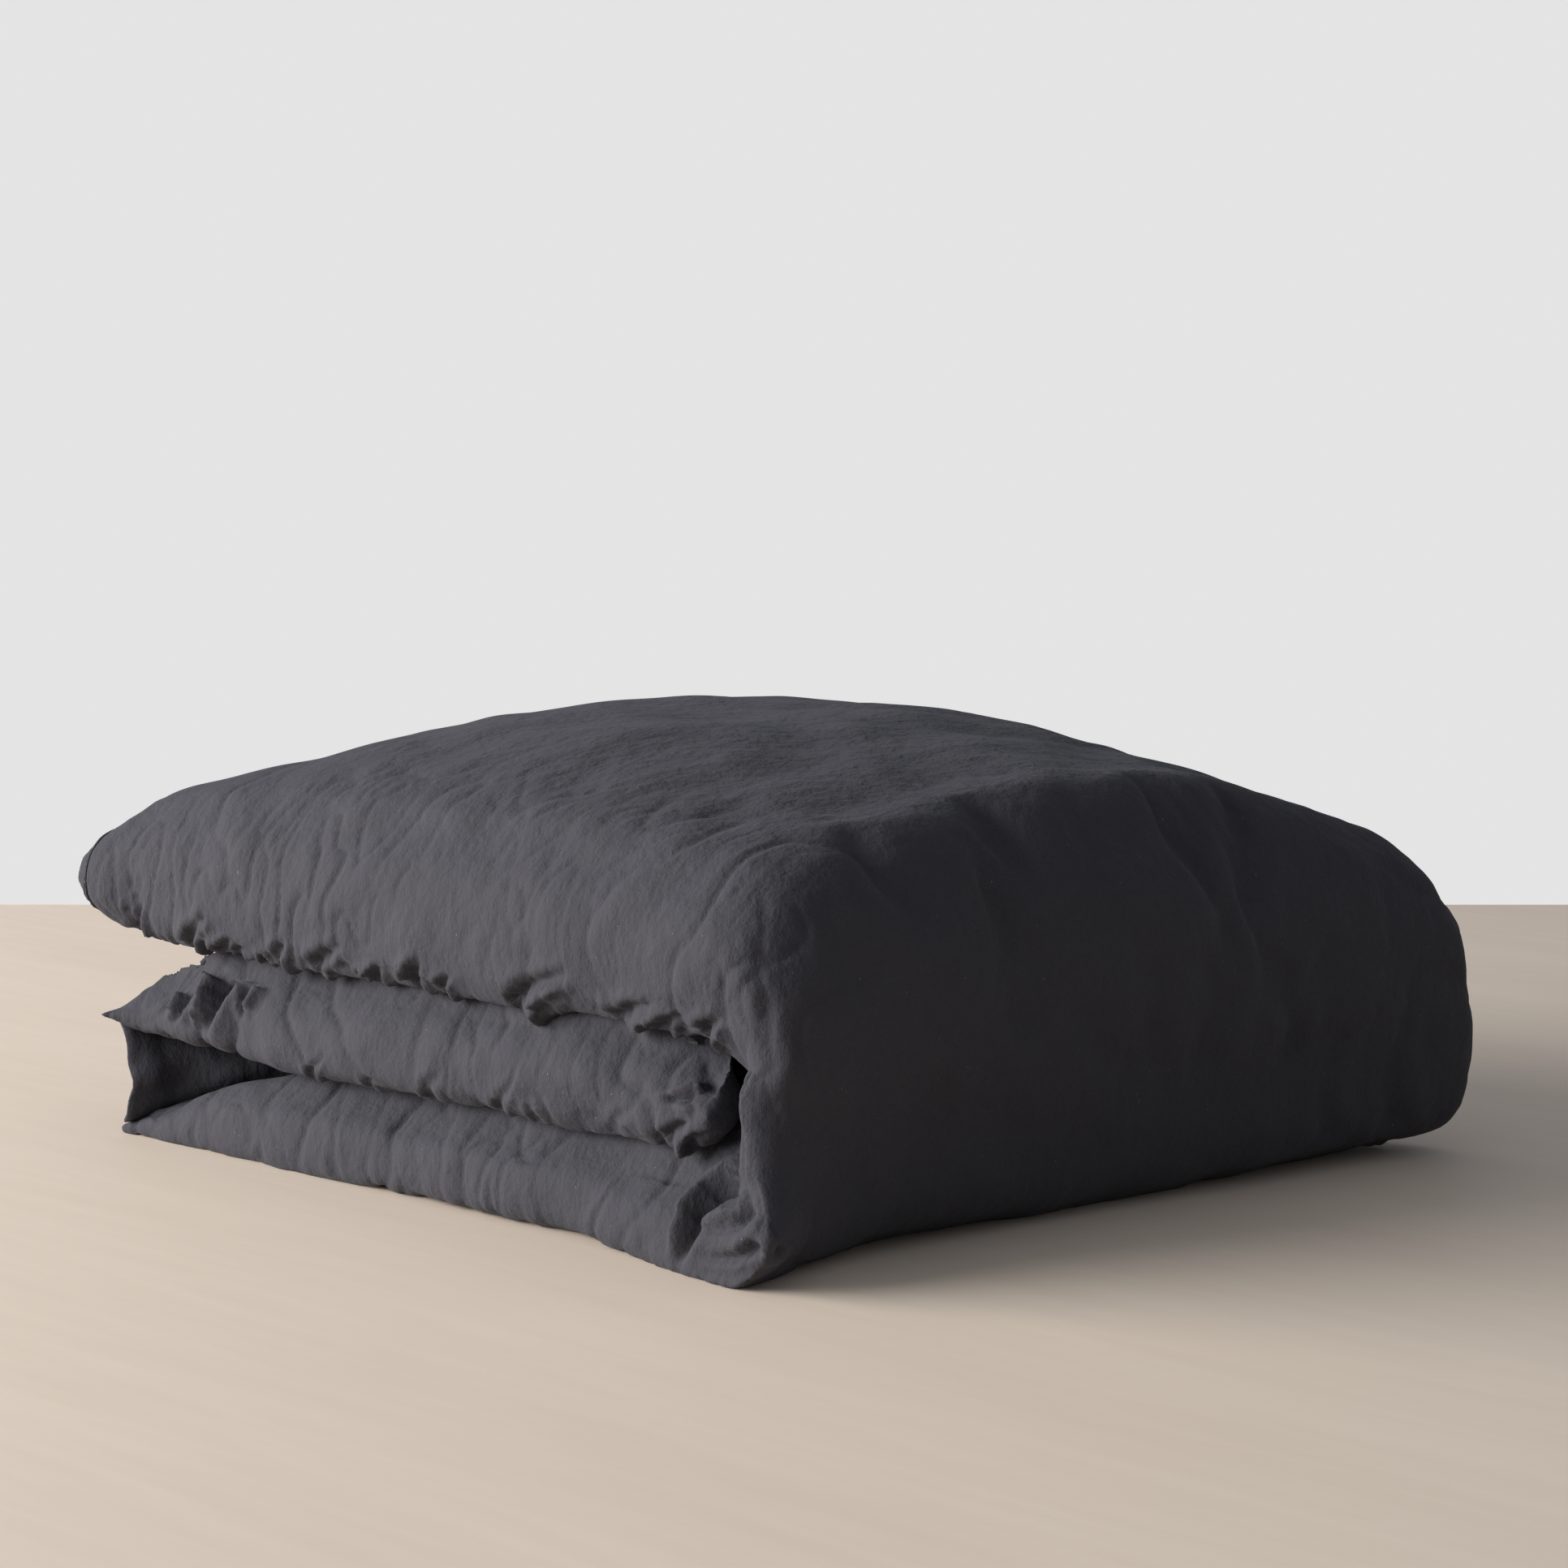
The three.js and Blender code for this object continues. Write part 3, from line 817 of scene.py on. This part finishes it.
top_pucker(-0.280, 0.045, 0.018, 0.0070, 0.0035)
top_pucker(-0.225, 0.042, 0.035, 0.0080, 0.0045)
top_pucker(-0.190, 0.024, 0.020, 0.0060, 0.0030, -0.3)
top_pucker(-0.132, 0.032, 0.022, 0.0070, 0.0035)
top_pucker(-0.092, 0.034, 0.040, 0.0085, 0.0050)
top_pucker(-0.030, 0.022, 0.012, 0.0060, 0.0035, -0.3)
top_pucker(0.008, 0.034, 0.020, 0.0080, 0.0050, -0.4)
top_pucker(0.034, 0.024, 0.016, 0.0060, 0.0035)
top_pucker(0.100, 0.040, 0.062, 0.0100, 0.0066, 0.5)
top_pucker(0.122, 0.026, 0.034, 0.0075, 0.0042, -0.4)
top_pucker(0.190, 0.030, 0.046, 0.0085, 0.0050)
top_pucker(0.232, 0.022, 0.024, 0.0065, 0.0038)
top_pucker(0.264, 0.028, 0.026, 0.0075, 0.0048)

# %% [markdown]
# The middle leaf is pinched where it turns back at the fold, which leaves one deep dimple with two
# lesser folds beside it. At the wrap the bottom leaf turns up, and its spare cloth pleats there.

# %% The middle leaf's dimple and the corner pleats
pucker(middle_press, -0.190, 0.122, -0.050, -0.020, 0.0130, 0.0120, 0.8, 0.5)
pucker(middle_press, -0.168, 0.120, -0.030, 0.004, 0.0080, 0.0060, 0.8, -0.4)
pucker(middle_press, -0.232, 0.108, -0.030, -0.006, 0.0085, 0.0060)
pucker(middle_press, 0.236, MIDDLE_SEAM, 0.030, 0.024, 0.0080, 0.0050)
pucker(middle_press, 0.262, 0.104, -0.014, -0.030, 0.0060, 0.0050)

pucker(strip_press, 0.286, 0.058, -0.052, -0.020, 0.0120, 0.0105, 0.9, 0.4)
pucker(strip_press, 0.320, 0.044, -0.022, -0.034, 0.0060, 0.0040, 0.9)
pucker(strip_press, 0.326, 0.028, -0.016, -0.038, 0.0060, 0.0036, 0.9)
corner_pleat = ((0.307, FRONT, 0.056), (0.306, FRONT, 0.080), (0.305, FRONT, 0.112))
strip_press.fold(corner_pleat, 0.008, 0.010, 0.3, 0.0, (0.1, 0.1))

# %% [markdown]
# The wrap's broad face is pulled smooth, so it gets only four faint drag lines that rise from its
# foot. They are wide and shallow, since the cloth there is under light tension and does not crease.

# %% Drag lines on the wrap
RIGHT = hinge_x + wrap_reach


def drag_line(y, foot, rise, depth):
    path = ((RIGHT, y, foot), (RIGHT, y - 0.015, foot + 0.45 * rise), (RIGHT, y - 0.004, foot + rise))
    strip_press.fold(path, 0.016, depth, 0.45, 0.0, (0.1, 0.6))


drag_line(0.235, 0.010, 0.11, 0.0034)
drag_line(0.175, 0.010, 0.09, 0.0028)
drag_line(0.130, 0.070, 0.11, 0.0018)
drag_line(-0.215, 0.020, 0.12, 0.0016)
strip_press.done()
middle_press.done()

# %% [markdown]
# The near edge of the wrap is a thin lip of cover that stands a little proud of the stuffing. It
# waves in and out as it drops to the table.

# %% The wrap's near lip
def hump(height, centre, spread):
    return np.exp(-(((height - centre) / spread) ** 2))


def wave_the_lip(piece):
    points = corners(piece)
    x, y, z = points.T
    wave = 0.012 * hump(z, 0.034, 0.024) - 0.007 * hump(z, 0.095, 0.014) + 0.003 * hump(z, 0.122, 0.010)
    near = np.clip((-0.262 - y) / 0.030, 0.0, 1.0) * np.clip((x - 0.290) / 0.015, 0.0, 1.0)
    points[:, 0] += wave * near
    points[:, 2] = np.maximum(points[:, 2], 0.0)
    move_corners(piece, points)


wave_the_lip(folded_strip)

# %% [markdown]
# # One strip, two hinges
# The strip crosses both hinges, and a piece may bend across one only. The strip crosses both
# hinges, so it is parted in the middle of the wrap into a lower and an upper piece. Both keep the
# normals of the unparted cloth, so no seam shows. A point belongs to the lower piece when it lies
# below a line that runs out from the hollow between the leaves.

# %% Parting the strip
def parted(piece, name, keep):
    copy = piece.copy()
    copy.data = piece.data.copy()
    copy.name = name
    copy.data.name = name
    scene.collection.objects.link(copy)
    whole_normals = outwards(copy)
    tag = copy.data.attributes.new("whole_normal", "FLOAT_VECTOR", "POINT")
    tag.data.foreach_set("vector", whole_normals.astype(np.float32).ravel())
    bm = bmesh.new()
    bm.from_mesh(copy.data)
    gone = [face for face in bm.faces if not keep(face.calc_center_median())]
    bmesh.ops.delete(bm, geom=gone, context="FACES")
    bm.to_mesh(copy.data)
    bm.free()
    kept = np.zeros(len(copy.data.vertices) * 3, np.float32)
    copy.data.attributes["whole_normal"].data.foreach_get("vector", kept)
    copy.data.normals_split_custom_set_from_vertices([Vector(n) for n in kept.reshape(-1, 3)])
    copy.data.attributes.remove(copy.data.attributes["whole_normal"])
    return copy


def is_lower(point):
    across = min(abs(point.y) / half_depth, 1.0)
    if point.x < hinge_x:
        middle = (float(bottom_top(point.x, across)) + float(top_under(point.x, across))) / 2
        return point.z < middle
    low, high = float(bottom_under(hinge_x, across)), float(top_top(hinge_x, across))
    return point.z < (low + high) / 2 + 0.011 * (1.0 - across)


lower_wrap = parted(folded_strip, "lower_wrap", is_lower)
upper_wrap = parted(folded_strip, "upper_wrap", lambda point: not is_lower(point))
bpy.data.objects.remove(folded_strip)
LOWER_START = (hinge_x - 0.0509, 0.0, lower_hinge_z - 0.0509)
LOWER_END = (hinge_x + 0.0177, 0.0, lower_hinge_z + 0.0177)
UPPER_START = (hinge_x + 0.0087, 0.0, upper_hinge_z - 0.0050)
UPPER_END = (hinge_x - 0.0390, 0.0, upper_hinge_z + 0.0225)
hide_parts("bottom_leaf_cover", "lower_fold_cover")
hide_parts("top_leaf_cover", "upper_fold_cover", "spine_cover")
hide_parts("middle_leaf_cover")
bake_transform(lower_wrap)
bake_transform(upper_wrap)
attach(middle_leaf, "base")
print("faces", len(lower_wrap.data.polygons), len(upper_wrap.data.polygons))

# %% [markdown]
# # The skin of the left fold
# Between the bottom and the middle leaf the cover turns back on itself at the left. There is no
# filling in the turn, so only a limp skin closes the hollow, falling in a few upright wrinkles.
# It is a single sheet, so it starts as a grid, is curved by a rule, and gets its wall last. Its
# cut is the cloth that goes half round the turn between the two lips.

# %% Inner fold skin
middle_tip_x = float(np.percentile(corners(middle_leaf)[:, 0], 0.6))
bottom_tip_x = float(np.percentile(corners(lower_wrap)[:, 0], 0.3))
SKIN_TOP = Vector((middle_tip_x + 0.004, 0.0, 0.072))
SKIN_TUCK = Vector((middle_tip_x + 0.024, 0.0, 0.041))
SKIN_FOOT = Vector((bottom_tip_x + 0.004, 0.0, 0.009))
print("fold tips", round(middle_tip_x, 4), round(bottom_tip_x, 4))


def skin_arc(share):
    return SKIN_TOP * (1 - share) ** 2 + SKIN_TUCK * (2 * share * (1 - share)) + SKIN_FOOT * share ** 2


def fold_skin():
    bm = bmesh.new()
    bmesh.ops.create_grid(bm, x_segments=120, y_segments=14, size=0.5)
    for vert in bm.verts:
        across, share = vert.co.x, 0.5 - vert.co.y
        place = skin_arc(share)
        upright = noise.noise(Vector((across * 26.0, share * 1.3, 4.0)))
        upright += 0.5 * noise.noise(Vector((across * 61.0, share, 9.0)))
        from_front = (across + 0.5) * 2.0 * half_depth
        sweep = 0.095 * (1.0 - math.exp(-((from_front / 0.095) ** 1.5)))
        sweep *= 0.35 + 0.65 * math.exp(-((from_front / 0.20) ** 4))
        slack = 0.007 * noise.noise(Vector((across * 9.0, share * 3.4 + across * 14.0, 2.0)))
        place.x += (0.0055 * upright + slack + sweep) * math.sin(math.pi * share) ** 0.7
        place.y = across * 2.0 * (half_depth - 0.008)
        vert.co = place
    bmesh.ops.recalc_face_normals(bm, faces=bm.faces)
    area = sum(face.calc_area() for face in bm.faces)
    bmesh.ops.solidify(bm, geom=bm.faces, thickness=0.0018)
    return bm, area


skin_shape, skin_area = fold_skin()
inner_fold_skin = new_piece("inner_fold_skin", skin_shape, cover_cloth)
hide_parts("inner_fold_cover")
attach(inner_fold_skin, "base")

# %% [markdown]
# # The hemmed end
# The free end of the top leaf is the duvet's own end, where its edge is turned in and topstitched
# as a band about a centimetre wide. The band follows the end of the leaf exactly, so it is taken
# from it: a copy of the end, cut off, lifted by the thickness of a turned seam and given a wall.

# %% End hem band
HEM_WIDTH = 0.012
TURNED_SEAM = 0.0007


def end_of(piece, cut_x):
    bm = bmesh.new()
    bm.from_mesh(piece.data)
    everything = list(bm.verts) + list(bm.edges) + list(bm.faces)
    bmesh.ops.bisect_plane(bm, geom=everything, plane_co=(cut_x, 0, 0), plane_no=(1, 0, 0), clear_outer=True)
    return bm


tip_x = float(corners(upper_wrap)[:, 0].min())


def hem_band():
    bm = end_of(upper_wrap, tip_x + HEM_WIDTH)
    bm.normal_update()
    for vert in bm.verts:
        vert.co += vert.normal * TURNED_SEAM
    bmesh.ops.solidify(bm, geom=bm.faces, thickness=TURNED_SEAM * 0.8)
    return bm


end_hem_band = new_piece("end_hem_band", hem_band(), cover_cloth)
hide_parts("end_hem")
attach(end_hem_band, "top_leaf")
print("hem band", len(end_hem_band.data.polygons), "faces, tip at", round(tip_x, 4))

# %% [markdown]
# The topstitching is a row of short sunk threads just inside the band's edge. One stitch is a
# small rod with softened ends; it is laid again and again along the cut edge of a narrower end.

# %% Topstitching
STITCH_SIZE = Matrix.Diagonal((0.0023, 0.0006, 0.0005, 1.0))
STITCH_PITCH = 0.0034


def soften_edges(bm, edges, offset, segments):
    bmesh.ops.bevel(
        bm,
        geom=edges,
        offset=offset,
        offset_type="OFFSET",
        affect="EDGES",
        segments=segments,
        profile=0.5,
        material=-1,
    )


def stitch_row(name, piece, cut_x, lift):
    bm = end_of(piece, cut_x)
    bm.normal_update()
    rim = [edge for edge in bm.edges if edge.is_boundary]
    spots = []
    for edge in rim:
        a, b = edge.verts
        steps = max(1, round((b.co - a.co).length / STITCH_PITCH))
        for step in range(steps):
            share = (step + 0.5) / steps
            heading = (b.co - a.co).normalized()
            facing = (a.normal + b.normal).normalized()
            spots.append((a.co.lerp(b.co, share), heading, facing))
    bm.free()
    row = bmesh.new()
    kept = []
    for place, course, out in spots:
        if all((place - other).length > STITCH_PITCH * 0.8 for other in kept[-6:]):
            kept.append(place)
            side = course.cross(out).normalized()
            frame_of = Matrix((course, side, out)).transposed().to_4x4()
            stitch_place = Matrix.Translation(place + out * lift) @ frame_of @ STITCH_SIZE
            bmesh.ops.create_cube(row, size=1.0, matrix=stitch_place)
    soften_edges(row, list(row.edges), 0.00015, 1)
    print(name, len(kept), "stitches")
    return new_piece(name, row, stitch_thread)


hem_stitches = stitch_row("end_hem_stitches", upper_wrap, tip_x + HEM_WIDTH - 0.0022, TURNED_SEAM + 0.0002)
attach(hem_stitches, "top_leaf")

# %% [markdown]
# # The insert
# Inside the cover lies the quilted insert, folded in four in each leaf. It is never seen while the
# duvet is folded, but it is what holds the stack up. Each ply is a thin pad, sewn through along
# channels so that its filling can't wander, and it is laid by the same rules as the cover.

# %% Insert plies
CHANNEL = 0.105
PLY_SIDE = 0.86


def ply_block(places, s, share, of, v=PLY_SIDE):
    first, last = 0.12 + 0.76 * share / of, 0.12 + 0.76 * (share + 1) / of
    middle, half = (first + last) / 2, (last - first) / 2 * 0.94

    def sewn(along, across, through):
        channel_s = np.abs(np.sin(math.pi * along * 0.6 / CHANNEL * (1.6 if places is wrap_places else 1.0)))
        channel_v = np.abs(np.sin(math.pi * across * half_depth / CHANNEL))
        loft = 0.45 + 0.55 * (channel_s * channel_v) ** 0.4
        return places(along, across, middle + half * (2.0 * through - 1.0) * loft)

    return soft_block(sewn, 44, 44, 1, s=s, v=(-v, v))


def add_ply(name, block, body, node, blended=None):
    ply = new_piece(name, block, insert_cloth)
    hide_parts(node)
    if blended:
        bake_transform(ply)
    else:
        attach(ply, body)
    return ply


def strip_share_at(x):
    return BOTTOM_SHARE * (x - folded_end_x) / (hinge_x - folded_end_x)


def top_share_at(x):
    return TOP_SHARE + (1 - TOP_SHARE) * (hinge_x - x) / (hinge_x - hemmed_end_x)


def middle_share_at(x):
    return (x - folded_end_x) / (closure_end_x - folded_end_x)


for number in range(1, 5):
    name = f"bottom_leaf_insert_ply_{number}"
    block = ply_block(wrap_places, (strip_share_at(-0.150), strip_share_at(hinge_x - 0.002)), 4 - number, 4)
    add_ply(f"bottom_ply_{number}", block, "base", name)
    name = f"middle_leaf_insert_ply_{number}"
    block = ply_block(middle_places, (middle_share_at(-0.225), middle_share_at(0.176)), number - 1, 4, 0.78)
    add_ply(f"middle_ply_{number}", block, "base", name)
    name = f"top_leaf_insert_ply_{number}"
    block = ply_block(wrap_places, (top_share_at(hinge_x - 0.002), top_share_at(-0.285)), number - 1, 4)
    add_ply(f"top_ply_{number}", block, "top_leaf", name)
    name = f"spine_insert_ply_{number}"
    block = ply_block(wrap_places, (0.493, 0.527), number - 1, 4, 0.72)
    add_ply(f"spine_ply_{number}", block, "spine", name)

lower_fold = ply_block(wrap_places, (BOTTOM_SHARE, 0.480), 0, 1, 0.76)
add_ply("lower_fold_pad", lower_fold, None, "lower_fold_insert", ("base", "spine", LOWER_START, LOWER_END))
upper_fold = ply_block(wrap_places, (0.536, TOP_SHARE), 0, 1, 0.76)
upper_bend = ("spine", "top_leaf", UPPER_START, UPPER_END)
add_ply("upper_fold_pad", upper_fold, None, "upper_fold_insert", upper_bend)
print("plies laid")

# %% [markdown]
# # The closure
# The duvet's mouth is hidden inside the roll, at the middle leaf's right end: four turned hems,
# each with two shell buttons. The hems keep the frame's shape, so each is a welded copy of it with
# softened edges, and the buttons are turned from a disc with a raised rim and four thread holes.

# %% Closure hems and buttons
def welded_copy(node, soften):
    bm = bmesh.new()
    bm.from_mesh(frame["nodes"][node].data)
    bmesh.ops.remove_doubles(bm, verts=bm.verts, dist=0.0002)
    sharp = [edge for edge in bm.edges if len(edge.link_faces) == 2 and edge.calc_face_angle() > 0.8]
    soften_edges(bm, sharp, soften, 2)
    return bm


def shell_button(node):
    low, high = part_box(node)
    radius, height = (high.x - low.x) / 2, high.z - low.z
    bm = bmesh.new()
    bmesh.ops.create_cone(bm, cap_ends=True, segments=32, radius1=radius * 0.96, radius2=radius, depth=height)
    round_faces = [face for face in bm.faces if len(face.verts) == 32]
    top = max(round_faces, key=lambda face: face.calc_center_median().z)
    bmesh.ops.inset_region(bm, faces=[top], thickness=radius * 0.22, depth=0.0)
    bmesh.ops.inset_region(bm, faces=[top], thickness=radius * 0.10, depth=-height * 0.28)
    edges = [edge for edge in bm.edges if edge.calc_face_angle(0.0) > 0.6]
    soften_edges(bm, edges, 0.0002, 2)
    for side_x in (-1, 1):
        for side_y in (-1, 1):
            place = Matrix.Translation((side_x * radius * 0.24, side_y * radius * 0.24, height * 0.235))
            hole = {"segments": 12, "radius1": 0.0009, "radius2": 0.0009, "depth": 0.0003}
            bmesh.ops.create_cone(bm, cap_ends=True, matrix=place, **hole)
    bmesh.ops.translate(bm, vec=(low + high) / 2, verts=bm.verts)
    return bm


for number in range(1, 5):
    hem_shape = welded_copy(f"closure_hem_{number}", 0.0004)
    hem = new_piece(f"closure_hem_band_{number}", hem_shape, cover_cloth)
    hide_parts(f"closure_hem_{number}")
    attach(hem, "base")
for number in range(1, 9):
    button_shape = shell_button(f"closure_button_{number}")
    button = new_piece(f"shell_button_{number}", button_shape, button_shell)
    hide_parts(f"closure_button_{number}")
    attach(button, "base")
print("closure made")

# %% [markdown]
# The corner loops and ties have the right shape in the frame, so they stay as they are and only
# get the woven look of cotton tape.

# %% Corner loops and ties
for name, node in frame["nodes"].items():
    if name.endswith(("_loop", "_tie")):
        for place in node.material_slots:
            place.material = tape_cloth
print("tapes", sum(name.endswith(("_loop", "_tie")) for name in frame["nodes"]))
